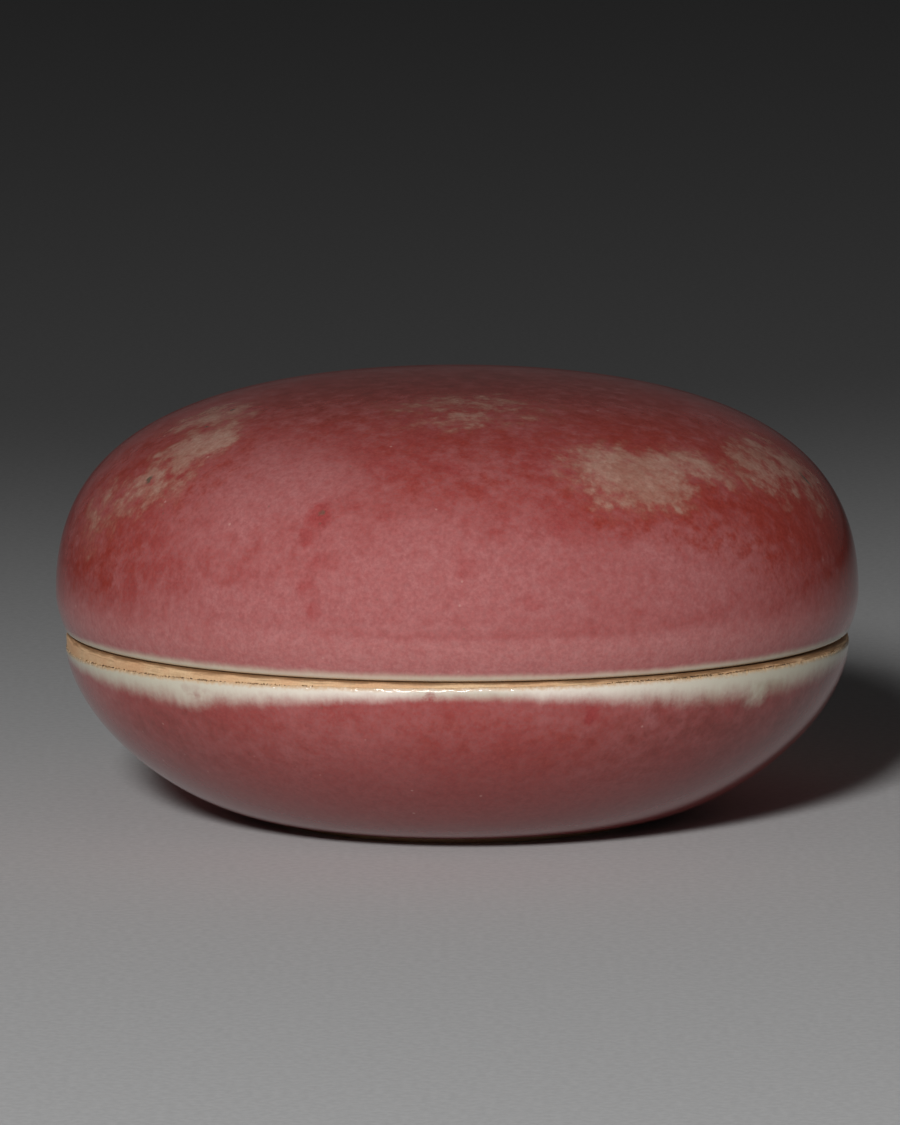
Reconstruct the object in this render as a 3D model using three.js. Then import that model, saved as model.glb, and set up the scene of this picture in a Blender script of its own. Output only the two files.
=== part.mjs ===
// A covered porcelain box for seal paste: a domed cover that sits on the stepped rim of a shallow, footed bowl.
// Both pieces are turned, so each one is a profile swept round the axis.
// Millimetres, +Z up. The origin is the centre of the circle that the foot ring stands on.
import * as THREE from 'three';

// Overall sizes
const outsideDiameter = 72; // across the belly of the cover
const overallHeight = 40; // from the foot to the crown
const seatHeight = 17; // from the foot to the ledge that the cover sits on

// Cover
const coverRimInset = 0.7; // how far the rim draws in from the belly
const bellyRise = 3.4; // from the rim up to the widest circle
const crownWall = 3; // at the top of the dome
const coverRimRounding = 0.5;
const socketChamfer = 0.3; // lead-in at the mouth of the socket

// Bowl
const bowlRimInset = 0.8; // how far the ledge's outer edge stays inside the cover's belly
const floorWall = 2.6; // between the well and the recess under it
const bowlRimRounding = 0.6;

// Lip on the bowl, and the room that the cover has round it and over the ledge
const ledgeWidth = 2.2; // from the lip out to the bowl's rim
const lipWall = 1.5;
const lipHeight = 2.4; // above the ledge
const lipRounding = 0.6;
const lipClearance = 0.5; // between the lip and the socket, all round
const seatGap = 0.25; // the bare fired rims are rough and close no further

// Foot ring
const footDiameter = 33; // outside, where it stands
const footWidth = 1.8; // of the ring where it stands
const footHeight = 0.6; // from the foot up to the bowl's underside
const footFlare = 0.5; // how much the ring widens on each side as it rises
const footChamfer = 0.2;
const recessDepth = 1.3; // of the hollow inside the ring

// How far each curve runs straight before it turns, as a share of its height or width
const shoulderFullness = 0.645; // cover, up from the belly
const crownFullness = 0.727; // cover, out along the crown
const sideFullness = 0.47; // bowl, down from the rim
const hipFullness = 0.4; // bowl, out along the underside

// Fineness of the faceted surfaces
const turnSteps = 64; // round the axis
const curveSteps = 14; // along a dome or a bowl
const flankSteps = 4; // along the short curve under the belly
const roundingSteps = 3; // round an edge

const bellyRadius = outsideDiameter / 2;
const bowlRimRadius = bellyRadius - bowlRimInset;
const lipRadius = bowlRimRadius - ledgeWidth;
const socketRadius = lipRadius + lipClearance;
const coverRimHeight = seatHeight + seatGap;

const point = (radius, height) => new THREE.Vector2(radius, height);

/** The outside of the cover's dome, from the belly up to the crown. */
function domeCurve(springHeight) {
  const rise = overallHeight - springHeight;
  return new THREE.CubicBezierCurve(
    point(bellyRadius, springHeight),
    point(bellyRadius, springHeight + rise * shoulderFullness),
    point(bellyRadius * crownFullness, overallHeight),
    point(0, overallHeight),
  );
}

/** The outside of the bowl, from the top of the foot ring up to the rim. */
function sideCurve(footTopRadius, rimHeight) {
  const rise = rimHeight - footHeight;
  const reach = bowlRimRadius - footTopRadius;
  return new THREE.CubicBezierCurve(
    point(footTopRadius, footHeight),
    point(footTopRadius + reach * hipFullness, footHeight),
    point(bowlRimRadius, rimHeight - rise * sideFullness),
    point(bowlRimRadius, rimHeight),
  );
}

/** The inner face of a wall, left of an outer curve, whose thickness changes evenly from start to end. */
function innerFace(curve, startWall, endWall) {
  return curve.getPoints(curveSteps).map((outer, step) => {
    const share = step / curveSteps;
    const tangent = curve.getTangent(share);
    const wall = THREE.MathUtils.lerp(startWall, endWall, share);
    return point(outer.x - tangent.y * wall, outer.y + tangent.x * wall);
  });
}

/** A quarter-round edge about a centre, turning left from a start angle in degrees. */
function roundedEdge(radius, centreRadius, centreHeight, startDegrees) {
  return Array.from({ length: roundingSteps + 1 }, (_, step) => {
    const angle = THREE.MathUtils.degToRad(startDegrees + (90 * step) / roundingSteps);
    return point(centreRadius + radius * Math.cos(angle), centreHeight + radius * Math.sin(angle));
  });
}

/** The cover's profile: down inside the hollow, across the rim, and up the outside to the crown. */
function coverProfile() {
  const bellyHeight = coverRimHeight + bellyRise;
  const rimRadius = bellyRadius - coverRimInset;
  const flankHeight = coverRimHeight + coverRimRounding;
  const dome = domeCurve(bellyHeight);
  const flank = new THREE.QuadraticBezierCurve(
    point(rimRadius, flankHeight),
    point(bellyRadius, (flankHeight + bellyHeight) / 2),
    point(bellyRadius, bellyHeight),
  );
  return [
    ...innerFace(dome, bellyRadius - socketRadius, crownWall).reverse(),
    point(socketRadius, coverRimHeight + socketChamfer),
    point(socketRadius + socketChamfer, coverRimHeight),
    ...roundedEdge(coverRimRounding, rimRadius - coverRimRounding, flankHeight, -90),
    ...flank.getPoints(flankSteps),
    ...dome.getPoints(curveSteps),
  ];
}

/** The bowl's profile: out under the foot, up the outside, over the ledge and lip, and down into the well. */
function bowlProfile() {
  const footRadius = footDiameter / 2;
  const footInnerRadius = footRadius - footWidth;
  const wellMouthRadius = lipRadius - lipWall;
  const wellFloorHeight = recessDepth + floorWall;
  const rimHeight = seatHeight - bowlRimRounding;
  const lipEdge = Math.min(lipRounding, lipWall / 2);
  const lipEdgeHeight = seatHeight + lipHeight - lipEdge;
  const side = sideCurve(footRadius + footFlare, rimHeight);
  return [
    point(0, recessDepth),
    point(footInnerRadius - footFlare, recessDepth),
    point(footInnerRadius, footChamfer),
    point(footInnerRadius + footChamfer, 0),
    point(footRadius - footChamfer, 0),
    point(footRadius, footChamfer),
    ...side.getPoints(curveSteps),
    ...roundedEdge(bowlRimRounding, bowlRimRadius - bowlRimRounding, rimHeight, 0),
    point(lipRadius, seatHeight),
    ...roundedEdge(lipEdge, lipRadius - lipEdge, lipEdgeHeight, 0),
    ...roundedEdge(lipEdge, wellMouthRadius + lipEdge, lipEdgeHeight, 90),
    ...innerFace(side, wellFloorHeight - footHeight, bowlRimRadius - wellMouthRadius).reverse(),
    point(0, wellFloorHeight),
  ];
}

/** A solid turned from a profile that starts and ends on the axis, with its inside on the left. */
function turned(name, profile, material) {
  const distinct = profile.filter((p, i) => i === 0 || p.distanceTo(profile[i - 1]) > 1e-6);
  const geometry = new THREE.LatheGeometry(distinct, turnSteps);
  geometry.rotateX(Math.PI / 2); // the lathe turns about Y
  const mesh = new THREE.Mesh(geometry, material);
  mesh.name = name;
  return mesh;
}

const roseGlaze = new THREE.MeshStandardMaterial({ color: 0xa86463, roughness: 0.22, metalness: 0 });
const deepRoseGlaze = new THREE.MeshStandardMaterial({ color: 0x9a5552, roughness: 0.22, metalness: 0 });

const box = new THREE.Group();
box.add(turned('cover', coverProfile(), roseGlaze));
box.add(turned('bowl', bowlProfile(), deepRoseGlaze));

export default box;
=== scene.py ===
"""A covered porcelain box in a copper-red glaze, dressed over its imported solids.

The box is two loose pieces, a cover and a bowl. Each is built as a fired body with thin skins of glaze on it:
a rose glaze outside, a clear one inside, and bare porcelain where the rims meet and where the foot stands.
Sizes are in millimetres and meshes in metres, in the frame of the solids: +Z up, the viewer at -Y.
"""

from __future__ import annotations

import logging
import math
from dataclasses import dataclass
from enum import Enum
from functools import partial, reduce
from typing import Any, Iterable, Sequence

import bpy
from mathutils import Matrix, Vector

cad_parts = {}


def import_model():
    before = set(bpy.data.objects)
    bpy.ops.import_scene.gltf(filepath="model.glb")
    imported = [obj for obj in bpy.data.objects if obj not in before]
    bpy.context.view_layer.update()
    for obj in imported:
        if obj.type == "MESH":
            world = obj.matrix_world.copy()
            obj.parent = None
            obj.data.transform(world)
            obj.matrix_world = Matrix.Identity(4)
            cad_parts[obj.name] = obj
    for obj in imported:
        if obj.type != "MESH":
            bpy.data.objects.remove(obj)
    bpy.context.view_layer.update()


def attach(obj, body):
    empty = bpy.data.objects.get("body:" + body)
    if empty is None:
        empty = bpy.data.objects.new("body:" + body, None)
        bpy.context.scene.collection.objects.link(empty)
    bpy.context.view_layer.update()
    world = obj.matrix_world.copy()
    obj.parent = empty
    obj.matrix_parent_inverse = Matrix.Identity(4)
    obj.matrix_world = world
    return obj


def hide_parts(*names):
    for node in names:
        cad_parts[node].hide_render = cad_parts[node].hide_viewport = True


LOG = logging.getLogger("porcelain_box")
MM = 0.001

SEAM_HEIGHT = 17.03  # of the cover's rim, drawn close on the bowl's as in the photograph
GLAZE_DEPTH = 0.14
BODY_SUNK = 0.12  # how far a body is drawn in under its glaze
GRIT_SUNK = 0.108  # how far the middles of crumbs lie under the glaze's face
POINT_GAP = 1e-6  # points of an outline that are nearer are one
BODY_TURN_STEPS = 288
DIMPLE_DEPTH = 0.03 * MM
DIMPLE_STRENGTH = 0.3
MARK_DEPTH = 1.5  # of a mark into the surface, as a share of its larger radius

# For the geometry trees, in metres and radians
WELD_GAP = 4e-7
AXIS_GAP = 1e-7
SHARP_BEND = math.radians(48)
GRIT_STRAY = (-0.1 * MM, 0.06 * MM)  # how far crumbs stray from the glaze's edge
GRIT_CLUSTERS = 260.0  # how finely crumbs are clustered
CRUMB_LEAST, CRUMB_MOST = (0.3, 0.3, 0.3), (1.6, 1.2, 0.9)  # their shapes, for the given size

NOISE_SPREAD = (0.3, 0.7)  # where most of a soft noise lies
NOISE_CORE = (0.35, 0.65)  # where the larger half of it lies
NODE_STEP, NODE_ROWS = 220, 6  # how nodes are laid out in their trees
EDGE_DISTANCE, BAND_SHARE = "edge_mm", "band_share"  # numbers that a skin carries for its glaze

Point = tuple[float, float]
Span = tuple[float, float]
Outline = list[Point]
Colour = tuple[float, float, float, float]
Feeds = dict[Any, Any]
Node, Socket, Tree = bpy.types.Node, bpy.types.NodeSocket, bpy.types.NodeTree
Material, Piece = bpy.types.Material, bpy.types.Object


def srgb(code: str) -> Colour:
    """Turn a screen colour into the linear colour that shaders take.

    Args:
        code: Six hexadecimal digits.

    Returns:
        The colour, opaque.
    """
    channels = [int(code[i : i + 2], 16) / 255 for i in (0, 2, 4)]
    linear = [c / 12.92 if c <= 0.04045 else ((c + 0.055) / 1.055) ** 2.4 for c in channels]
    return (linear[0], linear[1], linear[2], 1.0)


# Outlines


def toward(a: Point, b: Point, share: float) -> Point:
    """The point that lies a share of the way from one point to another."""
    return (a[0] + (b[0] - a[0]) * share, a[1] + (b[1] - a[1]) * share)


def bezier(a: Point, b: Point, c: Point, d: Point, steps: int) -> Outline:
    """Points along a cubic curve.

    Args:
        a: Start of the curve.
        b: Handle that the curve leaves towards.
        c: Handle that the curve arrives from.
        d: End of the curve.
        steps: Number of straight steps.

    Returns:
        The points, both ends included.
    """
    points = []
    for i in range(steps + 1):
        t = i / steps
        weights = ((1 - t) ** 3, 3 * t * (1 - t) ** 2, 3 * t * t * (1 - t), t**3)
        points.append(tuple(sum(w * p[k] for w, p in zip(weights, (a, b, c, d))) for k in (0, 1)))
    return points


def quarter(centre: Point, radius: float, start: float, steps: int = 8) -> Outline:
    """Points of a quarter-round edge that turns left from a start angle in degrees."""
    angles = [math.radians(start + 90 * i / steps) for i in range(steps + 1)]
    return [(centre[0] + radius * math.cos(a), centre[1] + radius * math.sin(a)) for a in angles]


def joined(*parts: Iterable[Point]) -> Outline:
    """Chain outlines into one, without the points that repeat where they meet.

    Args:
        parts: The outlines, in order.

    Returns:
        The chain.
    """
    chain: Outline = []
    for point in (p for part in parts for p in part):
        if not chain or math.dist(point, chain[-1]) > POINT_GAP:
            chain.append(point)
    return chain


def to_axis(outline: Outline) -> Outline:
    """An outline with its last point set on the axis."""
    return [*outline[:-1], (0.0, outline[-1][1])]


def moved_left(outline: Outline, depths: Iterable[float]) -> Outline:
    """Move each point of an outline to the left of its direction of travel.

    Args:
        outline: The points to move.
        depths: How far each one moves.

    Returns:
        The moved points.
    """
    moved, last = [], len(outline) - 1
    for i, ((radius, height), depth) in enumerate(zip(outline, depths)):
        before, after = outline[max(i - 1, 0)], outline[min(i + 1, last)]
        length = math.dist(before, after)
        along = ((after[0] - before[0]) / length, (after[1] - before[1]) / length)
        moved.append((radius - along[1] * depth, height + along[0] * depth))
    return moved


def walled(outline: Outline, start: float, end: float) -> Outline:
    """The other face of a wall to the left of an outline, whose thickness changes evenly."""
    last = len(outline) - 1
    return moved_left(outline, (start + (end - start) * (i / last) for i in range(last + 1)))


def sunk(outline: Outline, depth: float, bare: float, full: float) -> Outline:
    """Move an outline to the left, more and more along a stretch of it.

    Args:
        outline: The points to move.
        depth: How far they move in the end. Below 0 they move to the right.
        bare: Distance along the outline up to which they stay.
        full: Distance along the outline from which they move all the way.

    Returns:
        The moved points.
    """
    run, depths = 0.0, []
    for before, point in zip([outline[0], *outline], outline):
        run += math.dist(before, point)
        share = min(max((run - bare) / (full - bare), 0.0), 1.0)
        depths.append(depth * share * share * (3 - 2 * share))
    return moved_left(outline, depths)


# Node trees


@dataclass(frozen=True)
class Noise:
    """A kind of soft noise: its scale, which a socket may give, and how much finer noise it holds."""

    scale: float | Socket
    detail: float = 2.0
    roughness: float = 0.5


@dataclass(frozen=True)
class Specks:
    """Dots in some of the cells of a pattern, full out to their core and gone at their reach."""

    scale: float
    core: float
    reach: float
    chance: float
    strength: float


class Graph:
    """A node tree that is written one step at a time, each step giving the socket it ends in."""

    def __init__(self, tree: Tree) -> None:
        """Start on an empty tree."""
        self.tree = tree

    def add(self, kind: str, inputs: Feeds | None = None, **settings: Any) -> Node:
        """Add a node.

        Args:
            kind: Type of node.
            inputs: What its inputs take.
            settings: Options of the node itself.

        Returns:
            The node.
        """
        column, row = divmod(len(self.tree.nodes), NODE_ROWS)
        node = self.tree.nodes.new(kind)
        node.location = (NODE_STEP * column, -NODE_STEP * row)
        for name, value in settings.items():
            setattr(node, name, value)
        self.feed(node, inputs or {})
        return node

    def feed(self, node: Node, inputs: Feeds) -> None:
        """Give inputs of a node what they take.

        Args:
            node: The node.
            inputs: For each input, a socket to link or a constant.
        """
        for key, value in inputs.items():
            if isinstance(value, Socket):
                self.tree.links.new(value, node.inputs[key])
            else:
                node.inputs[key].default_value = value

    def out(self, kind: str, inputs: Feeds | None = None, **settings: Any) -> Socket:
        """Add a node and take its first output."""
        return self.add(kind, inputs, **settings).outputs[0]

    def math(self, operation: str, *values: Any) -> Socket:
        """One step of arithmetic on numbers."""
        return self.out("ShaderNodeMath", dict(enumerate(values)), operation=operation)

    def vector(self, operation: str, *values: Any) -> Socket:
        """One step of arithmetic that gives a vector."""
        keys = (0, "Scale" if operation == "SCALE" else 1)
        return self.out("ShaderNodeVectorMath", dict(zip(keys, values)), operation=operation)

    def combine(self, x: Any = 0.0, y: Any = 0.0, z: Any = 0.0) -> Socket:
        """A vector from three numbers."""
        return self.out("ShaderNodeCombineXYZ", {0: x, 1: y, 2: z})

    def split(self, vector: Socket) -> tuple[Socket, ...]:
        """The three numbers of a vector."""
        return tuple(self.add("ShaderNodeSeparateXYZ", {0: vector}).outputs)

    def ease(self, value: Socket, low: Any, high: Any, start: Any = 0.0, end: Any = 1.0) -> Socket:
        """Go smoothly from start to end as a value goes from low to high."""
        feeds = {"Value": value, "From Min": low, "From Max": high, "To Min": start, "To Max": end}
        return self.out("ShaderNodeMapRange", feeds, interpolation_type="SMOOTHSTEP")

    def noise(self, place: Socket, kind: Noise, output: int | str = 0) -> Socket:
        """Soft noise at a place, as a number or as another of the node's outputs."""
        feeds = {"Vector": place, "Scale": kind.scale, "Detail": kind.detail, "Roughness": kind.roughness}
        return self.add("ShaderNodeTexNoise", feeds).outputs[output]

    def sway(self, value: Socket, noise: Socket, amount: Any) -> Socket:
        """Move a number up and down by soft noise."""
        return self.math("MULTIPLY_ADD", self.math("SUBTRACT", noise, 0.5), amount, value)

    def wander(self, point: Socket, place: Socket, kind: Noise, amount: float) -> Socket:
        """Move a point to any side by the soft noise at a place."""
        drift = self.vector("SUBTRACT", self.noise(place, kind, "Color"), (0.5, 0.5, 0.5))
        return self.vector("ADD", point, self.vector("SCALE", drift, amount))

    def specks(self, place: Socket, kind: Specks) -> Socket:
        """Scatter specks.

        Args:
            place: The point in question.
            kind: Which specks.

        Returns:
            How much of a speck there is at the point.
        """
        cells = self.add("ShaderNodeTexVoronoi", {"Vector": place, "Scale": kind.scale})
        dot = self.ease(cells.outputs["Distance"], kind.core, kind.reach, kind.strength, 0.0)
        pick = self.math("LESS_THAN", self.split(cells.outputs["Color"])[0], kind.chance)
        return self.math("MULTIPLY", dot, pick)

    def attribute(self, name: str) -> Socket:
        """A number that the mesh carries."""
        return self.add("ShaderNodeAttribute", attribute_name=name).outputs["Fac"]

    def mix(self, share: Any, a: Any, b: Any, blend: str = "MIX") -> Socket:
        """Blend two colours by a share."""
        feeds = {0: share, 6: a, 7: b}
        return self.add("ShaderNodeMix", feeds, data_type="RGBA", blend_type=blend).outputs[2]

    def most(self, values: Sequence[Socket]) -> Socket:
        """The greatest of several numbers."""
        return reduce(partial(self.math, "MAXIMUM"), values)

    def bump(self, height: Socket, depth: float, strength: float = 1.0, under: Feeds | None = None) -> Socket:
        """A normal that follows a height, over what lies under it."""
        feeds = {"Strength": strength, "Distance": depth, "Height": height} | (under or {})
        return self.out("ShaderNodeBump", feeds)

    def surface(self, feeds: Feeds) -> None:
        """End a material in its surface."""
        shader = self.out("ShaderNodeBsdfPrincipled", feeds)
        self.add("ShaderNodeOutputMaterial", {"Surface": shader})


FLOAT, INTEGER, SHAPE, PAINT = (f"NodeSocket{kind}" for kind in ("Float", "Int", "Geometry", "Material"))
WAVE_NAMES = ("Mean", "Lean X", "Lean Y", "Lobe", "Waver", "Lobe Count", "Waver Scale", "Seed")


def new_tree(name: str, inputs: dict[str, str], outputs: dict[str, str]) -> tuple[Graph, dict[str, Socket]]:
    """Start a geometry tree with named inputs and outputs.

    Args:
        name: Name of the tree.
        inputs: Name and socket type of each input.
        outputs: Name and socket type of each output.

    Returns:
        The tree as a graph, and its inputs by name.
    """
    tree = bpy.data.node_groups.new(name, "GeometryNodeTree")
    for way, sockets in (("INPUT", inputs), ("OUTPUT", outputs)):
        for title, kind in sockets.items():
            tree.interface.new_socket(title, in_out=way, socket_type=kind)
    graph = Graph(tree)
    entry = graph.add("NodeGroupInput")
    return graph, {title: entry.outputs[title] for title in inputs}


def wave_names(*prefixes: str) -> list[str]:
    """The names of the inputs that waves with these prefixes take."""
    return [f"{prefix} {name}" for prefix in prefixes for name in WAVE_NAMES]


@dataclass(frozen=True)
class RimWave:
    """A distance that wanders round the rim, as a dipped or wiped edge of glaze does."""

    mean: float
    lean_x: float = 0.0
    lean_y: float = 0.0
    lobe: float = 0.0
    waver: float = 0.0
    lobe_count: int = 2
    waver_scale: float = 12.0
    seed: float = 0.0

    def inputs(self, prefix: str, unit: float = MM) -> dict[str, float]:
        """Give a tree this wave.

        Args:
            prefix: What the names of the tree's inputs start with.
            unit: What lengths are counted in.

        Returns:
            The values of those inputs.
        """
        lengths = (self.mean, self.lean_x, self.lean_y, self.lobe, self.waver)
        values = [length * unit for length in lengths]
        values += [float(self.lobe_count), self.waver_scale, self.seed]
        return dict(zip(wave_names(prefix), values))


class TurningTrees:
    """The geometry trees that turn outlines into meshes."""

    def __init__(self) -> None:
        """Build each tree once."""
        self.wave = self._wave()
        self.body = self._body()
        self.skin = self._skin()
        self.grit = self._grit()

    @staticmethod
    def _wave() -> Tree:
        """Build a group that gives a wandering distance for an angle round the axis.

        Returns:
            The group.
        """
        g, i = new_tree("rim_wave", dict.fromkeys(("Turn", *WAVE_NAMES), FLOAT), {"Distance": FLOAT})
        x, y = g.math("COSINE", i["Turn"]), g.math("SINE", i["Turn"])
        lean = g.math("ADD", g.math("MULTIPLY", x, i["Lean X"]), g.math("MULTIPLY", y, i["Lean Y"]))
        lobes = g.math("COSINE", g.math("MULTIPLY", i["Turn"], i["Lobe Count"]))
        even = g.math("ADD", g.math("MULTIPLY", lobes, i["Lobe"]), g.math("ADD", i["Mean"], lean))
        noise = g.noise(g.combine(x, y, i["Seed"]), Noise(i["Waver Scale"], 4.0, 0.6))
        g.add("NodeGroupOutput", {0: g.sway(even, noise, g.math("MULTIPLY", i["Waver"], 2.0))})
        return g.tree

    def _wave_of(self, g: Graph, inputs: dict[str, Socket], prefix: str, turn: Socket) -> Socket:
        """Use the wave group on the inputs that start with a prefix."""
        feeds = {name: inputs[f"{prefix} {name}"] for name in WAVE_NAMES}
        return g.out("GeometryNodeGroup", {"Turn": turn} | feeds, node_tree=self.wave)

    @staticmethod
    def _start(name: str, counts: Iterable[str], numbers: Iterable[str]) -> tuple[Graph, dict[str, Socket]]:
        """Start a tree that takes an outline, counts, numbers and a material, and gives a shape."""
        values = dict.fromkeys(counts, INTEGER) | dict.fromkeys(numbers, FLOAT)
        return new_tree(name, {"Geometry": SHAPE} | values | {"Material": PAINT}, {"Geometry": SHAPE})

    @staticmethod
    def _grid(g: Graph, columns: Socket, rows: Socket) -> tuple[Socket, Socket, Socket]:
        """Start on a flat grid.

        Args:
            g: The tree.
            columns: Number of faces round the axis.
            rows: Number of points along the outline.

        Returns:
            The grid, and the turn round the axis and the share of the rows at each of its points.
        """
        feeds = {"Size X": 1.0, "Size Y": 1.0, "Vertices X": g.math("ADD", columns, 1.0), "Vertices Y": rows}
        grid = g.out("GeometryNodeMeshGrid", feeds)
        x, y, _ = g.split(g.out("GeometryNodeInputPosition"))
        turn = g.math("MULTIPLY", g.math("ADD", x, 0.5), math.tau)
        return grid, turn, g.math("ADD", y, 0.5)

    @staticmethod
    def _swung(g: Graph, place: Socket, turn: Socket) -> Socket:
        """Swing a point of an outline round the axis.

        Args:
            g: The tree.
            place: The point.
            turn: How far, in radians.

        Returns:
            The point in space.
        """
        radius, _, height = g.split(place)
        x, y = (g.math("MULTIPLY", radius, g.math(way, turn)) for way in ("COSINE", "SINE"))
        return g.combine(x, y, height)

    @staticmethod
    def _end(g: Graph, shape: Socket, material: Socket) -> None:
        """End a tree: realize what is instanced and set the material."""
        feeds = {"Geometry": g.out("GeometryNodeRealizeInstances", {0: shape}), "Material": material}
        g.add("NodeGroupOutput", {0: g.out("GeometryNodeSetMaterial", feeds)})

    def _close(self, g: Graph, shape: Socket, material: Socket) -> None:
        """Weld seams and poles, shade smoothly between sharp edges, and end the tree.

        Args:
            g: The tree.
            shape: What it has turned.
            material: The finish.
        """
        welded = g.out("GeometryNodeMergeByDistance", {"Geometry": shape, "Distance": WELD_GAP})
        smooth = g.out("GeometryNodeSetShadeSmooth", {0: welded})
        bends = {0: g.out("GeometryNodeInputMeshEdgeAngle"), 1: SHARP_BEND}
        sharp = g.out("FunctionNodeCompare", bends, operation="GREATER_THAN")
        edged = g.out("GeometryNodeSetShadeSmooth", {0: smooth, 1: sharp, 2: False}, domain="EDGE")
        self._end(g, edged, material)

    def _body(self) -> Tree:
        """Build a tree that turns every point of an outline into one ring.

        Returns:
            The tree.
        """
        g, i = self._start("turned_body", ("Turn Steps", "Ring Count"), ())
        grid, turn, share = self._grid(g, i["Turn Steps"], i["Ring Count"])
        index = g.math("ROUND", g.math("MULTIPLY", share, g.math("SUBTRACT", i["Ring Count"], 1.0)))
        feeds = {"Geometry": i["Geometry"], "Index": index, "Value": g.out("GeometryNodeInputPosition")}
        point = g.out("GeometryNodeSampleIndex", feeds, data_type="FLOAT_VECTOR", domain="POINT")
        feeds = {"Geometry": grid, "Position": self._swung(g, point, turn)}
        self._close(g, g.out("GeometryNodeSetPosition", feeds), i["Material"])
        return g.tree

    def _skin(self) -> Tree:
        """Build a tree that lays a closed skin along an outline, from a wandering edge to the outline's end.

        Returns:
            The tree.
        """
        numbers = ("Side", "Depth", "Edge Round", "Ends On Axis", *wave_names("Edge", "Band"))
        g, i = self._start("glaze_skin", ("Turn Steps", "Rows", "Back Rows"), numbers)
        curve = g.out("GeometryNodeMeshToCurve", {0: i["Geometry"]})
        both = g.add("GeometryNodeJoinGeometry")
        for rows, flipped in (("Rows", "LESS_THAN"), ("Back Rows", "GREATER_THAN")):
            sheet = self._sheet(g, i, curve, rows)
            turned = g.out("FunctionNodeCompare", {0: i["Side"], 1: 0.0}, operation=flipped)
            g.feed(both, {0: g.out("GeometryNodeFlipFaces", {0: sheet, 1: turned})})
        self._close(g, both.outputs[0], i["Material"])
        return g.tree

    def _sheet(self, g: Graph, i: dict[str, Socket], curve: Socket, rows: str) -> Socket:
        """Lay one face of a skin: the seen one, rounded at its edges, or the one bedded in the body.

        Args:
            g: The tree.
            i: The tree's inputs.
            curve: The outline.
            rows: Name of the input with the number of rows, which tells the faces apart.

        Returns:
            The face, with its distance from the edge stored at its points.
        """
        grid, turn, share = self._grid(g, i["Turn Steps"], i[rows])
        edge, band = (self._wave_of(g, i, prefix, turn) for prefix in ("Edge", "Band"))
        square = g.math("MULTIPLY", share, share)
        ease = g.math("MULTIPLY", square, g.math("MULTIPLY_ADD", share, -2.0, 3.0))
        spaced = g.out("ShaderNodeMix", {0: i["Ends On Axis"], 2: ease, 3: square})
        room = g.math("SUBTRACT", g.out("GeometryNodeCurveLength", {0: curve}), edge)
        passed = g.math("MULTIPLY", spaced, room)
        if rows == "Rows":
            start = self._rounded(g, passed, i["Edge Round"])
            end = self._rounded(g, g.math("SUBTRACT", room, passed), i["Edge Round"])
            rise = g.math("MULTIPLY", start, g.math("MAXIMUM", end, i["Ends On Axis"]))
            depth = g.math("MULTIPLY", g.math("SUBTRACT", rise, 1.0), i["Depth"])
        else:
            depth = g.math("MULTIPLY", i["Depth"], -1.0)
        feeds = {"Curves": curve, "Length": g.math("ADD", edge, passed)}
        sample = g.add("GeometryNodeSampleCurve", feeds, mode="LENGTH")
        along_r, _, along_z = g.split(sample.outputs["Tangent"])
        lift = g.math("MULTIPLY", depth, i["Side"])
        sink = g.math("MULTIPLY", lift, -1.0)
        shift = g.combine(g.math("MULTIPLY", along_z, lift), 0.0, g.math("MULTIPLY", along_r, sink))
        point = sample.outputs["Position"]
        off_axis = g.math("GREATER_THAN", g.split(point)[0], AXIS_GAP)
        held = g.vector("MULTIPLY", shift, g.combine(off_axis, 0.0, 1.0))
        place = self._swung(g, g.vector("ADD", point, held), turn)
        for name, unit in ((EDGE_DISTANCE, MM), (BAND_SHARE, band)):
            feeds = {"Geometry": grid, "Name": name, "Value": g.math("DIVIDE", passed, unit)}
            grid = g.out("GeometryNodeStoreNamedAttribute", feeds, data_type="FLOAT", domain="POINT")
        return g.out("GeometryNodeSetPosition", {"Geometry": grid, "Position": place})

    @staticmethod
    def _rounded(g: Graph, distance: Socket, radius: Socket) -> Socket:
        """The height of a rounded edge, from 0 at its foot to 1 a radius away."""
        near = g.math("SUBTRACT", 1.0, g.math("MINIMUM", g.math("DIVIDE", distance, radius), 1.0))
        return g.math("SQRT", g.math("MAXIMUM", g.math("SUBTRACT", 1.0, g.math("MULTIPLY", near, near)), 0.0))

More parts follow.
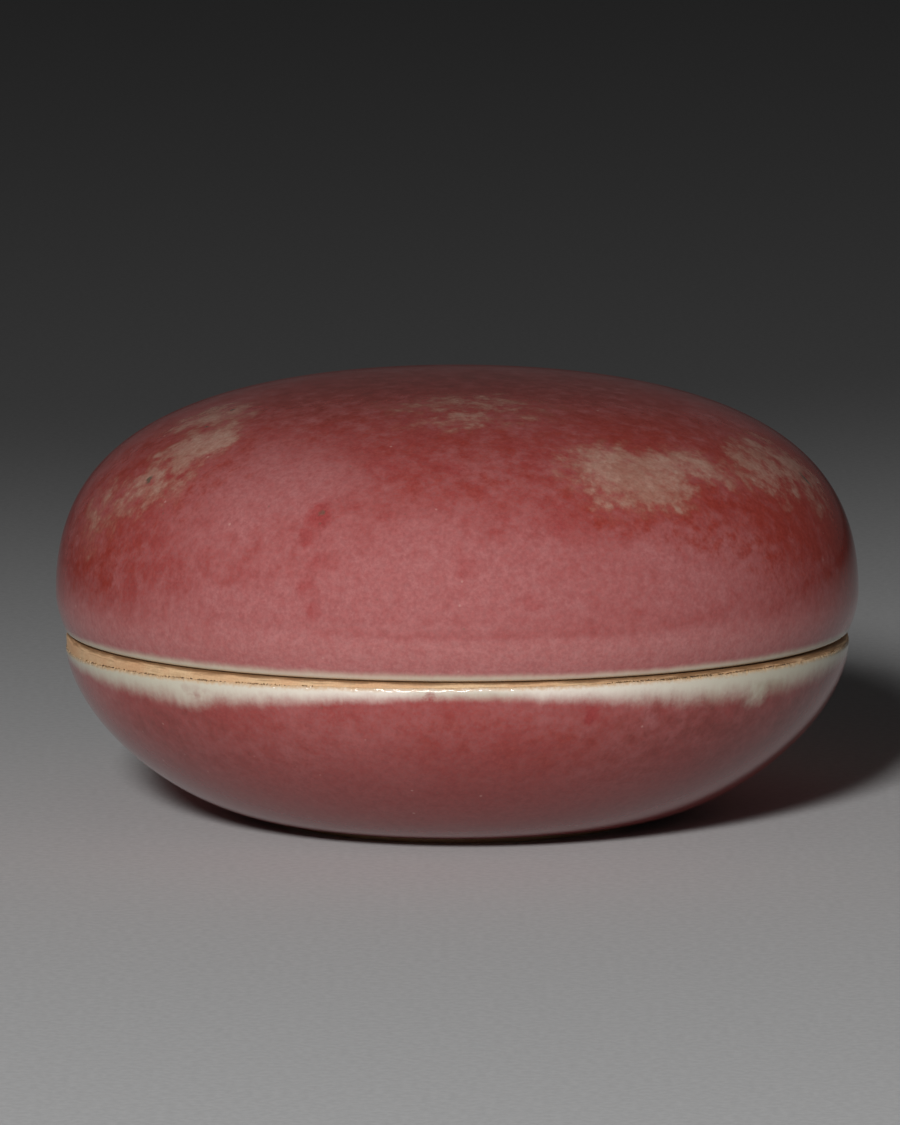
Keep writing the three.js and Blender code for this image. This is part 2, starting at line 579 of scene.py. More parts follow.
    def _grit(self) -> Tree:
        """Build a tree that lodges crumbs of dirt in clusters along a wandering edge.

        Returns:
            The tree.
        """
        numbers = ("Crumb Size", *wave_names("Edge", "Bare"))
        g, i = self._start("rim_grit", ("Count", "Seed"), numbers)
        seed, vectors = {"Seed": i["Seed"]}, {"data_type": "FLOAT_VECTOR"}
        turn = g.math("MULTIPLY", g.math("DIVIDE", g.out("GeometryNodeInputIndex"), i["Count"]), math.tau)
        edge, bare = (self._wave_of(g, i, prefix, turn) for prefix in ("Edge", "Bare"))
        low, high = GRIT_STRAY
        stray = g.add("FunctionNodeRandomValue", {2: low, 3: high} | seed).outputs[1]
        curve = g.out("GeometryNodeMeshToCurve", {0: i["Geometry"]})
        feeds = {"Curves": curve, "Length": g.math("ADD", edge, stray)}
        sample = g.add("GeometryNodeSampleCurve", feeds, mode="LENGTH")
        place = self._swung(g, sample.outputs["Position"], turn)
        points = g.out("GeometryNodePoints", {"Count": i["Count"], "Position": place})
        spot = g.vector("SCALE", g.out("GeometryNodeInputPosition"), GRIT_CLUSTERS)
        gone = g.math("LESS_THAN", g.noise(spot, Noise(1.0, 4.0, 0.75)), bare)
        kept = g.out("GeometryNodeDeleteGeometry", {0: points, 1: gone}, domain="POINT")
        crumb = g.out("GeometryNodeMeshIcoSphere", {"Radius": i["Crumb Size"], "Subdivisions": 1})
        spin = g.out("FunctionNodeRandomValue", {0: (0.0,) * 3, 1: (math.tau,) * 3} | seed, **vectors)
        size = g.out("FunctionNodeRandomValue", {0: CRUMB_LEAST, 1: CRUMB_MOST} | seed, **vectors)
        feeds = {"Points": kept, "Instance": crumb, "Rotation": spin, "Scale": size}
        self._end(g, g.out("GeometryNodeInstanceOnPoints", feeds), i["Material"])
        return g.tree


def grown(name: str, outline: Outline, tree: Tree, values: dict[str, Any]) -> Piece:
    """Run a geometry tree on an outline and keep the result as a plain mesh.

    Args:
        name: Name of the piece.
        outline: Radius and height of each point, in millimetres.
        tree: The geometry tree.
        values: What the tree's named inputs take.

    Returns:
        The piece, at the origin, with no modifiers.
    """
    seed = bpy.data.meshes.new(f"{name}_outline")
    edges = [(i, i + 1) for i in range(len(outline) - 1)]
    seed.from_pydata([(r * MM, 0.0, z * MM) for r, z in outline], edges, [])
    piece = bpy.data.objects.new(name, seed)
    bpy.context.scene.collection.objects.link(piece)
    modifier = piece.modifiers.new("turning", "NODES")
    modifier.node_group = tree
    for item in tree.interface.items_tree:
        if item.in_out == "INPUT" and item.name in values:
            modifier[item.identifier] = values[item.name]
    depsgraph = bpy.context.evaluated_depsgraph_get()
    mesh = bpy.data.meshes.new_from_object(piece.evaluated_get(depsgraph), depsgraph=depsgraph)
    mesh.name = name
    piece.modifiers.clear()
    piece.data = mesh
    bpy.data.meshes.remove(seed)
    return piece


# Finishes


class Mark(Enum):
    """Kinds of mark in the rose glaze: those the kiln leaves, and painted shade and sheen."""

    # painted shade, laid as a dark cloud on the front of the cover's crown and on the bowl's sides
    DUSK = "dark cloud"
    PALE = "buff patch"
    BLUSH = "red cloud"
    # pink clouds, and painted sheen on the cover's lower dome, in front and at the right edge
    BLOOM = "pink cloud"
    SPOT = "red spot"
    MOSS = "dull green fleck"
    FLECK = "red fleck in the white edge"
    RUN = "white run below the edge"


@dataclass(frozen=True)
class GlazeMark:
    """A soft-edged mark on the glaze, in millimetres and degrees."""

    kind: Mark
    turn: float  # round from the front, to the viewer's right
    reach: float  # along the outline of the surface, from its top
    width: float
    length: float  # along the outline
    tilt: float  # to the left
    strength: float  # how fully it shows

    def mapping(self, outline: Outline) -> Feeds:
        """Find where the mark lies on a turned surface.

        Args:
            outline: The surface's outline, from its top down.

        Returns:
            The mapping that turns a point into shares of the mark's radii.
        """
        run = 0.0
        for a, b in zip(outline, outline[1:]):
            step = math.dist(a, b)
            if run + step >= self.reach:
                break
            run += step
        radius, height = toward(a, b, min((self.reach - run) / step, 1.0))
        turn = math.radians(self.turn)
        outward = Vector((math.sin(turn), -math.cos(turn), 0.0))
        across = Vector((math.cos(turn), math.sin(turn), 0.0))
        upward = (outward * (a[0] - b[0]) + Vector((0.0, 0.0, a[1] - b[1]))).normalized()
        lean = Matrix.Rotation(math.radians(self.tilt), 3, across.cross(upward))
        across, upward = lean @ across, lean @ upward
        facing = Matrix((across, upward, across.cross(upward))).transposed().to_euler()
        place = outward * radius + Vector((0.0, 0.0, height))
        radii = (self.width / 2, self.length / 2)
        return {"Location": place, "Rotation": facing, "Scale": (*radii, max(radii) * MARK_DEPTH)}


def marks_of(table: dict[Mark, Sequence[tuple[float, ...]]]) -> list[GlazeMark]:
    """The marks in a table that has a row of turn, reach, width, length, tilt and strength for each."""
    return [GlazeMark(kind, *row) for kind, rows in table.items() for row in rows]


def start_material(name: str) -> tuple[Material, Graph, Socket]:
    """Start a material.

    Args:
        name: Name of the material.

    Returns:
        The material, its graph, and object coordinates in millimetres.
    """
    material = bpy.data.materials.new(name)
    material.use_nodes = True
    material.node_tree.nodes.clear()
    g = Graph(material.node_tree)
    return material, g, g.vector("SCALE", g.add("ShaderNodeTexCoord").outputs["Object"], 1 / MM)


@dataclass(frozen=True)
class GlazeFlow:
    """How the rose glaze has flowed on one piece."""

    mottling: float  # how blotchy its ground is
    white: Colour  # of its edge
    feather: float  # how softly the white gives way to red
    fringe: float  # how torn the white is
    thin_reach: float  # how far from the edge the paler painted reflection of the floor reaches
    settled: float  # how much darker it grows away from its edge
    bead: float  # height of the roll along its edge


@dataclass(frozen=True)
class RoseGlaze:
    """Copper-red glaze: rose with deeper clouds, pale patches, red spots, moss flecks and a white edge, with
    painted shade, sheen and floor reflection in its colour.
    """

    rose: Colour = srgb("a15957")
    deep: Colour = srgb("974340")
    blush: Colour = srgb("93382f")
    # pink of the clouds and of the painted sheen
    bloom: Colour = srgb("a66362")
    # paler colour of the painted reflection of the floor below the cover's belly
    thin: Colour = srgb("ae6c6a")
    dregs: Colour = srgb("863d3b")
    # colour of the painted shade
    dusk: Colour = srgb("7a3a36")
    pale: Colour = srgb("af8475")
    greige: Colour = srgb("a16e5f")
    spot: Colour = srgb("963938")
    moss: Colour = srgb("6a5548")
    pinhole: Colour = srgb("c79a90")
    # celadon where the white edge pools, and of its painted shade
    celadon: Colour = srgb("bebaa3")
    stain: Colour = srgb("cda57b")
    roughness: float = 0.12
    ior: float = 1.55

    grain: Noise = Noise(3.4, 3.0, 0.65)
    ragged: Noise = Noise(0.62, 5.0, 0.62)
    clouds: Noise = Noise(0.11, 5.0, 0.65)
    mottle: Noise = Noise(0.5, 5.0, 0.72)
    buff: Noise = Noise(0.3, 5.0, 0.65)
    haze: Noise = Noise(1.3, 4.0, 0.75)
    bend: Noise = Noise(1.2, 3.0, 0.6)
    broad_bend: Noise = Noise(0.2, 3.0, 0.6)
    thin_line: Noise = Noise(0.3, 4.0, 0.6)
    runs: Noise = Noise(1.0, 5.0, 0.7)
    grit: Noise = Noise(2.4, 5.0, 0.75)
    green: Noise = Noise(0.1, 1.0, 0.5)
    dimples: Noise = Noise(0.9, 2.0, 0.45)
    lumps: Noise = Noise(1.3, 3.0, 0.6)
    iron: Specks = Specks(0.42, 0.018, 0.06, 0.3, 0.5)
    pinholes: Specks = Specks(0.5, 0.027, 0.09, 0.24, 0.5)

    def material(self, name: str, flow: GlazeFlow, marks: Sequence[GlazeMark], outline: Outline) -> Material:
        """Make the glaze for one piece.

        Args:
            name: Name of the material.
            flow: How the glaze has flowed.
            marks: The marks that the piece carries.
            outline: The outline that the marks are placed on, from its top down.

        Returns:
            The material.
        """
        material, g, place = start_material(name)
        RoseCoat(g, place, self, flow, marks, outline).lay()
        return material


@dataclass
class RoseCoat:
    """The rose glaze of one piece, laid layer over layer in the graph of its material."""

    g: Graph
    place: Socket
    glaze: RoseGlaze
    flow: GlazeFlow
    marks: Sequence[GlazeMark]
    outline: Outline

    # Lengths in millimetres
    NEAR_BEND, FAR_BEND, FRINGE_BEND = 1.2, 6.0, 2.0  # how far noise pushes marks and the white fringe
    MARK_FADE = (0.2, 1.6)  # where a mark fades, in shares of its radii
    MARK_TORN = (0.0, 0.4)  # how much of a mark must be there for it to be torn
    THICK = (2.0, 13.0)  # how far from its edge the glaze darkens
    THIN_MIDDLE, THIN_SIDES, THIN_SOFT = 4.0, (6.0, 28.0), 1.3  # where the painted reflection's line is sharp, and how soft it grows to the sides
    GRAIN_TINT, HAZE_TINT = 0.1, 0.2
    WARM_HAZE, COOL_HAZE = (0.35, 0.65), (0.1, 0.9)  # what haze does to red, and to green and blue
    RUN_RADIUS, RUN_STRETCH = 36.0, 0.4  # of the pattern that runs in the white fringe follow
    RUN_TEAR, GRIT_TEAR, RAGGED_TEAR = 2.2, 1.4, 2.0
    DULL_SIDES, DULL_SHARE = (6.0, 30.0), 0.75  # painted shade: where the white edge turns to celadon away from the front, and how far
    STAINED, STAIN_SHARE, STAIN_SWAY = (0.0, 0.5), 0.85, 0.8  # how dirt has crept in at the edge
    BEAD_WIDTH, BEAD_LUMPS = 0.45, (0.45, 1.3)

    def __post_init__(self) -> None:
        """Make what several layers use."""
        self.colour: Any = self.glaze.rose
        self.edge = self.g.attribute(EDGE_DISTANCE)
        self.grain, self.ragged = (self._noise(kind) for kind in (self.glaze.grain, self.glaze.ragged))

    def lay(self) -> None:
        """Lay every layer from the ground up, and end the material in its surface."""
        g, gloss = self.g, self.glaze.roughness
        for layer in (self._ground, self._mark, self._settle, self._thin, self._speck):
            layer()
        white = self._whiten()
        rough = g.ease(self.grain, 0.25, 0.75, gloss - 0.02, gloss + 0.04)
        feeds = {"Base Color": self.colour, "Roughness": g.ease(white, 0.2, 0.9, rough, gloss / 2)}
        g.surface(feeds | {"IOR": self.glaze.ior, "Normal": self._peel()})

    def _noise(self, kind: Noise) -> Socket:
        """Soft noise of a kind at the point."""
        return self.g.noise(self.place, kind)

    def _mask(self, mark: GlazeMark, where: Socket) -> Socket:
        """Shape a mark.

        Args:
            mark: The mark.
            where: The point in question.

        Returns:
            How much of the mark there is at the point.
        """
        feeds = {"Vector": where} | mark.mapping(self.outline)
        local = self.g.out("ShaderNodeMapping", feeds, vector_type="TEXTURE")
        far = self.g.add("ShaderNodeVectorMath", {0: local}, operation="LENGTH").outputs["Value"]
        return self.g.ease(far, *self.MARK_FADE, mark.strength, 0.0)

    def _ground(self) -> None:
        """Lay the ground colour, with slow clouds and fine mottling in it."""
        g, glaze = self.g, self.glaze
        cloud = g.sway(self._noise(glaze.clouds), self._noise(glaze.mottle), self.flow.mottling)
        cloud = g.sway(cloud, self.grain, 0.7)
        self.colour = g.mix(g.ease(cloud, 0.3, 0.72), glaze.rose, glaze.deep)

    def _mark(self) -> None:
        """Lay the marks over the ground, softest first."""
        g, glaze = self.g, self.glaze
        near = g.wander(self.place, self.place, glaze.bend, self.NEAR_BEND)
        far = g.wander(near, self.place, glaze.broad_bend, self.FAR_BEND)
        buff = g.mix(g.ease(self._noise(glaze.buff), *NOISE_CORE), glaze.pale, glaze.greige)
        # Kind, where it has wandered to, where it starts to show and shows in full, how torn it is, colour
        layers = (
            # pink clouds and painted sheen
            (Mark.BLOOM, far, 0.0, 1.0, 1.2, glaze.bloom),
            (Mark.BLUSH, far, 0.05, 1.0, 2.2, glaze.blush),
            # painted shade
            (Mark.DUSK, far, 0.0, 1.0, 1.2, glaze.dusk),
            (Mark.PALE, far, 0.12, 1.0, 2.4, buff),
            (Mark.SPOT, near, 0.05, 0.95, 1.2, glaze.spot),
            (Mark.MOSS, near, 0.2, 0.8, 0.4, glaze.moss),
        )
        for kind, where, none, full, tear, paint in layers:
            masks = [self._mask(mark, where) for mark in self.marks if mark.kind is kind]
            if masks:
                whole = g.most(masks)
                torn = g.sway(whole, self.ragged, g.ease(whole, *self.MARK_TORN, 0.0, tear))
                self.colour = g.mix(g.ease(torn, none, full), self.colour, paint)

    def _settle(self) -> None:
        """Darken the glaze further from its edge, towards the bottom of the bowl."""
        thick = self.g.ease(self.edge, *self.THICK, 0.0, self.flow.settled)
        self.colour = self.g.mix(thick, self.colour, self.glaze.dregs)

    def _thin(self) -> None:
        """Paint the floor's reflection below the belly: paler glaze from the edge up to a line that is softer
        at the sides, with darker glaze just above it.
        """
        g, reach = self.g, self.flow.thin_reach
        height = g.sway(self.edge, self._noise(self.glaze.thin_line), 0.6)
        sideways, _, _ = g.split(self.place)
        aside = g.math("ABSOLUTE", g.math("SUBTRACT", sideways, self.THIN_MIDDLE))
        soft = g.ease(aside, *self.THIN_SIDES, 0.0, self.THIN_SOFT)
        low, high = g.math("SUBTRACT", reach - 0.6, soft), g.math("ADD", reach + 0.3, soft)
        # paler below the line: the painted reflection of the floor
        below = g.ease(height, low, high, 0.72, 0.0)
        # darker just above the painted reflection's line
        above = g.math("SUBTRACT", g.ease(height, reach + 0.2, reach + 2.2, 0.3, 0.0), below)
        self.colour = g.mix(g.math("MAXIMUM", above, 0.0), self.colour, self.glaze.deep)
        self.colour = g.mix(below, self.colour, self.glaze.thin)

    def _speck(self) -> None:
        """Add the fine grain, the haze, iron specks and pinholes."""
        g, glaze = self.g, self.glaze
        tint = g.ease(self.grain, *NOISE_SPREAD)
        self.colour = g.mix(self.GRAIN_TINT, self.colour, g.combine(tint, tint, tint), "OVERLAY")
        haze = self._noise(glaze.haze)
        warm, cool = (g.ease(haze, *NOISE_SPREAD, *ends) for ends in (self.WARM_HAZE, self.COOL_HAZE))
        self.colour = g.mix(self.HAZE_TINT, self.colour, g.combine(warm, cool, cool), "OVERLAY")
        for specks, paint in ((glaze.iron, glaze.moss), (glaze.pinholes, glaze.pinhole)):
            self.colour = g.mix(g.specks(self.place, specks), self.colour, paint)

    def _whiten(self) -> Socket:
        """Thin the glaze to white along its edge, with a fringe that has run up and down; painted shade turns
        it to celadon at the sides and to the right.

        Returns:
            How white the glaze is.
        """
        g, glaze, flow = self.g, self.glaze, self.flow
        sideways, ahead, height = g.split(self.place)
        round_axis = g.vector("SCALE", g.vector("NORMALIZE", g.combine(sideways, ahead)), self.RUN_RADIUS)
        stretched = g.vector("ADD", round_axis, g.combine(z=g.math("MULTIPLY", height, self.RUN_STRETCH)))
        grit = self._noise(glaze.grit)
        torn = share = g.attribute(BAND_SHARE)
        noises = (g.noise(stretched, glaze.runs), grit, self.ragged)
        for noise, tear in zip(noises, (self.RUN_TEAR, self.GRIT_TEAR, self.RAGGED_TEAR)):
            torn = g.sway(torn, noise, tear * flow.fringe)
        where = g.wander(self.place, self.place, glaze.bend, self.FRINGE_BEND)
        for kind, change in ((Mark.FLECK, 1.0), (Mark.RUN, -1.0)):
            for mark in (mark for mark in self.marks if mark.kind is kind):
                torn = g.math("MULTIPLY_ADD", self._mask(mark, where), change, torn)
        white = g.ease(torn, 1.0 - flow.feather, 1.0 + 1.1 * flow.feather, 1.0, 0.0)
        # greener to the right: painted shade, over a random drift
        drift = g.math("MULTIPLY_ADD", sideways, 0.005, self._noise(glaze.green))
        # painted shade: celadon away from the front
        dull = g.ease(g.math("ABSOLUTE", sideways), *self.DULL_SIDES, 0.0, self.DULL_SHARE)
        pooled = g.math("MULTIPLY", g.ease(share, 0.1, 0.8), g.ease(drift, 0.4, 0.75))
        edge = g.mix(g.math("MAXIMUM", dull, pooled), flow.white, glaze.celadon)
        crept = g.sway(self.edge, grit, self.STAIN_SWAY)
        stained = g.ease(crept, *self.STAINED, self.STAIN_SHARE, 0.0)
        self.colour = g.mix(white, self.colour, g.mix(stained, edge, glaze.stain))
        return white

    def _peel(self) -> Socket:
        """Add the faint dimples of a thick glossy glaze, and the lumpy bead along its edge.

        Returns:
            The normal.
        """
        g, glaze = self.g, self.glaze
        peel = g.bump(self._noise(glaze.dimples), DIMPLE_DEPTH, DIMPLE_STRENGTH)
        lumps = g.ease(self._noise(glaze.lumps), *NOISE_CORE, *self.BEAD_LUMPS)
        roll = g.math("MULTIPLY", g.ease(self.edge, 0.0, self.BEAD_WIDTH, -1.0, 0.0), lumps)
        return g.bump(roll, self.flow.bead * MM, under={"Normal": peel})


@dataclass(frozen=True)
class ClearGlaze:
    """Clear glaze over white porcelain: faintly blue, greener where it pools, with a few iron specks."""

    white: Colour = srgb("dcdcd2")
    pooled: Colour = srgb("c3cbbf")
    speck: Colour = srgb("6b5a45")
    ior: float = 1.5
    roughness: Span = (0.12, 0.2)
    pool_width: float = 2.5  # mm from the glaze's edge
    pool_least: float = 0.25
    pool_patches: Span = (0.4, 1.0)
    drift: Noise = Noise(0.12, 4.0, 0.6)
    dimples: Noise = Noise(0.8, 2.0, 0.45)
    iron: Specks = Specks(0.3, 0.015, 0.04, 0.35, 1.0)

    def material(self, name: str) -> Material:
        """Make the glaze.

        Args:
            name: Name of the material.

        Returns:
            The material.
        """
        material, g, place = start_material(name)
        drift = g.noise(place, self.drift)
        near = g.ease(g.attribute(EDGE_DISTANCE), 0.0, self.pool_width, 1.0, self.pool_least)
        thick = g.math("MULTIPLY", near, g.ease(drift, *NOISE_SPREAD, *self.pool_patches))
        colour = g.mix(thick, self.white, self.pooled)
        feeds = {"Base Color": g.mix(g.specks(place, self.iron), colour, self.speck), "IOR": self.ior}
        feeds |= {"Roughness": g.ease(drift, *NOISE_SPREAD, *self.roughness)}
        g.surface(feeds | {"Normal": g.bump(g.noise(place, self.dimples), DIMPLE_DEPTH, DIMPLE_STRENGTH)})
        return material


@dataclass(frozen=True)
class Biscuit:
    """Bare fired porcelain, toned orange in the kiln, with fine turning lines, and brown at the seam with
    dirt and painted shade under the cover's rim.
    """

    tan: Colour = srgb("cfa27a")
    cream: Colour = srgb("d9b78f")
    brown: Colour = srgb("8c6136")
    # brown of the dirt and of the painted shade at the seam
    grubby: Colour = srgb("6e4a29")
    roughness: Span = (0.62, 0.8)
    relief: float = 0.4
    line_relief: float = 0.5
    line_wear: float = 0.5
    wear: Span = (0.5, 0.75)
    wear_most: float = 0.6
    dirt_reach: float = 0.5  # of the dirt and painted shade, in mm from the seam, in front
    dirt_aside: float = 0.017  # more of it for each mm to either side
    dirt_right: float = 0.006  # painted shade: more for each mm to the right, where the cover overhangs
    dirt_patches: Span = (0.4, 1.0)
    dirt_fade: Span = (0.2, 1.0)
    dirt_most: float = 0.9
    grain_tint: float = 0.12
    drift: Noise = Noise(0.16, 4.0, 0.6)
    lines: Noise = Noise(1.0, 3.0, 0.6)
    line_stretch: tuple[float, float, float] = (0.3, 0.3, 5.0)
    grain: Noise = Noise(6.0, 3.0, 0.65)

    def material(self, name: str) -> Material:
        """Make the bare porcelain.

        Args:
            name: Name of the material.

        Returns:
            The material.
        """
        material, g, place = start_material(name)
        drift, grain = g.noise(place, self.drift), g.noise(place, self.grain)
        lines = g.noise(g.vector("MULTIPLY", place, self.line_stretch), self.lines)
        colour = g.mix(g.ease(drift, *NOISE_CORE), self.tan, self.cream)
        worn = g.ease(g.sway(drift, lines, self.line_wear), *self.wear, 0.0, self.wear_most)
        colour = g.mix(worn, colour, self.brown)
        sideways, _, height = g.split(place)
        # brown near the seam: dirt, and painted shade under the cover's rim
        off = g.math("ABSOLUTE", g.math("SUBTRACT", height, SEAM_HEIGHT))
        wider = g.math("MULTIPLY_ADD", g.math("ABSOLUTE", sideways), self.dirt_aside, self.dirt_reach)
        wider = g.math("MULTIPLY_ADD", sideways, self.dirt_right, wider)
        reach = g.math("MULTIPLY", wider, g.ease(lines, *NOISE_SPREAD, *self.dirt_patches))
        dirt = g.ease(g.math("DIVIDE", off, reach), *self.dirt_fade, self.dirt_most, 0.0)
        colour = g.mix(dirt, colour, self.grubby)
        tint = g.ease(grain, *NOISE_SPREAD)
        rough = g.ease(grain, *NOISE_SPREAD, *self.roughness)
        colour = g.mix(self.grain_tint, colour, g.combine(tint, tint, tint), "OVERLAY")
        relief = g.bump(g.math("MULTIPLY_ADD", lines, self.line_relief, grain), DIMPLE_DEPTH, self.relief)
        g.surface({"Base Color": colour, "Roughness": rough, "Normal": relief})
        return material


@dataclass(frozen=True)
class Grime:
    """Dark crumbs of old dirt, caught where the glaze ends."""

    dark: Colour = srgb("453120")
    brown: Colour = srgb("86663f")
    tone: Noise = Noise(3.0, 2.0)
    roughness: Span = (0.75, 0.95)

    def material(self, name: str) -> Material:
        """Make the dirt.

        Args:
            name: Name of the material.

        Returns:
            The material.
        """
        material, g, place = start_material(name)
        tone = g.noise(place, self.tone)
        colour = g.mix(g.ease(tone, *NOISE_CORE), self.dark, self.brown)
        g.surface({"Base Color": colour, "Roughness": g.ease(tone, *NOISE_SPREAD, *self.roughness)})
        return material


# Pieces


@dataclass(frozen=True)
class Workshop:
    """What both halves of the box are made with."""

    trees: TurningTrees
    rose: RoseGlaze
    clear: Material
    bare: Material

    def body(self, name: str, outline: Outline) -> Piece:
        """Turn a fired body from an outline that runs from axis to axis, with the solid on its left."""
        values = {"Turn Steps": BODY_TURN_STEPS, "Ring Count": len(outline), "Material": self.bare}
        return grown(name, outline, self.trees.body, values)


@dataclass
class GlazeSkin:
    """A thin skin of glaze on the right side (1) or left side (-1) of an outline, from its wandering edge."""

    name: str
    outline: Outline
    side: int
    edge: RimWave
    band: RimWave = RimWave(3.0)
    ends_on_axis: bool = True
    turn_steps: int = 256
    rows: int = 70
    back_rows: int = 40
    edge_round: float = 0.28

    def build(self, trees: TurningTrees, material: Material) -> Piece:
        """Lay the skin.

        Args:
            trees: The geometry trees.
            material: The glaze.

        Returns:
            The skin.
        """
        values = {"Turn Steps": self.turn_steps, "Rows": self.rows, "Back Rows": self.back_rows}
        values |= {"Side": float(self.side), "Ends On Axis": float(self.ends_on_axis), "Material": material}
        values |= {"Depth": GLAZE_DEPTH * MM, "Edge Round": self.edge_round * MM}
        values |= self.edge.inputs("Edge") | self.band.inputs("Band")
        return grown(self.name, self.outline, trees.skin, values)


def settle(piece: Piece, body: str) -> Piece:
    """Let a piece ride on a body and stand for its solid, which is hidden.

    Args:
        piece: The piece.
        body: The body, which has the name of its solid.

    Returns:
        The piece.
    """
    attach(piece, body)
    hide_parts(body)
    LOG.info("%s: %d faces on %s", piece.name, len(piece.data.polygons), body)
    return piece


